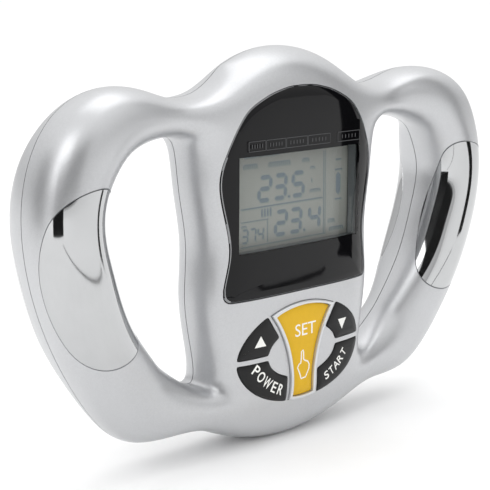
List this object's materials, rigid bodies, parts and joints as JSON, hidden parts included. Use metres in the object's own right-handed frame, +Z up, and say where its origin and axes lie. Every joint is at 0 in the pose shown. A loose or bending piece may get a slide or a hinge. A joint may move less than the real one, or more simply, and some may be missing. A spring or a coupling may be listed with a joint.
{
  "type": "handheld body composition monitor",
  "caption": "Handheld body composition monitor with two loop handles, chrome hand electrodes, display window and five push keys.",
  "frame": {"origin": "under the middle of the object, on the plane of its base", "axes": "+X to the user's right seen from the front, -Y out of the front panel, +Z up through the display"},
  "size_m": [0.2004, 0.0328, 0.1344],
  "materials": {
    "silver_paint": "satin silver paint on moulded ABS",
    "chrome_plate": "bright chrome plating, polished",
    "window_black": "clear acrylic printed black behind, polished",
    "key_black": "moulded black ABS key, satin, white printing",
    "key_yellow": "moulded yellow key, satin gloss, white printing",
    "key_rim_silver": "satin silver paint on the key rim",
    "silicone_grey": "moulded silicone",
    "lcd_glass": "liquid crystal panel, grey-green reflector",
    "holder_white": "moulded white ABS",
    "board_green": "glass-epoxy board with green solder mask",
    "chip_epoxy": "black epoxy",
    "nickel": "nickel-plated spring steel",
    "zinc_steel": "zinc-plated steel",
    "brass": "brass disc",
    "cell_sleeve": "shrink sleeve on a dry cell",
    "lead_red": "red insulation",
    "lead_black": "black insulation"
  },
  "bodies": {
    "casing": {"front_shell": "silver_paint", "rear_shell": "silver_paint", "display_window": "window_black", "lcd_panel": "lcd_glass", "lcd_holder": "holder_white", "lcd_connector": "silicone_grey", "main_board": "board_green", "chip_cover": "chip_epoxy", "buzzer": "brass", "keypad": "silicone_grey", "battery_left": "cell_sleeve", "battery_right": "cell_sleeve", "battery_spring_left": "nickel", "battery_spring_right": "nickel", "contact_plate_left": "nickel", "contact_plate_right": "nickel", "contact_link": "nickel", "battery_lead_red": "lead_red", "battery_lead_black": "lead_black", "board_screw_left": "zinc_steel", "board_screw_right": "zinc_steel", "case_screw_1": "zinc_steel", "case_screw_2": "zinc_steel", "case_screw_3": "zinc_steel", "case_screw_4": "zinc_steel", "case_screw_5": "zinc_steel", "case_screw_6": "zinc_steel", "front_electrode_left": "chrome_plate", "front_lead_left": "lead_red", "front_electrode_right": "chrome_plate", "front_lead_right": "lead_red", "rear_electrode_left": "chrome_plate", "rear_lead_left": "lead_black", "rear_electrode_right": "chrome_plate", "rear_lead_right": "lead_black"},
    "set_key": {"set_key_rim": "key_rim_silver", "set_key_cap": "key_yellow"},
    "up_key": {"up_key": "key_black"},
    "down_key": {"down_key": "key_black"},
    "power_key": {"power_key": "key_black"},
    "start_key": {"start_key": "key_black"},
    "battery_cover": {"battery_cover": "silver_paint"}
  },
  "joints": [
    {"name": "set_key_press", "type": "slide", "parent": "casing", "child": "set_key", "axis": [0, 1, 0], "range_m": [0, 0.0008], "stiffness_N_per_m": 1200, "springref_m": -0.0006},
    {"name": "up_key_press", "type": "slide", "parent": "casing", "child": "up_key", "axis": [0, 1, 0], "range_m": [0, 0.0008], "stiffness_N_per_m": 1200, "springref_m": -0.0006},
    {"name": "down_key_press", "type": "slide", "parent": "casing", "child": "down_key", "axis": [0, 1, 0], "range_m": [0, 0.0008], "stiffness_N_per_m": 1200, "springref_m": -0.0006},
    {"name": "power_key_press", "type": "slide", "parent": "casing", "child": "power_key", "axis": [0, 1, 0], "range_m": [0, 0.0008], "stiffness_N_per_m": 1200, "springref_m": -0.0006},
    {"name": "start_key_press", "type": "slide", "parent": "casing", "child": "start_key", "axis": [0, 1, 0], "range_m": [0, 0.0008], "stiffness_N_per_m": 1200, "springref_m": -0.0006},
    {"name": "battery_cover_lift", "type": "slide", "parent": "casing", "child": "battery_cover", "axis": [0, 1, 0], "range_m": [0, 0.03]}
  ]
}
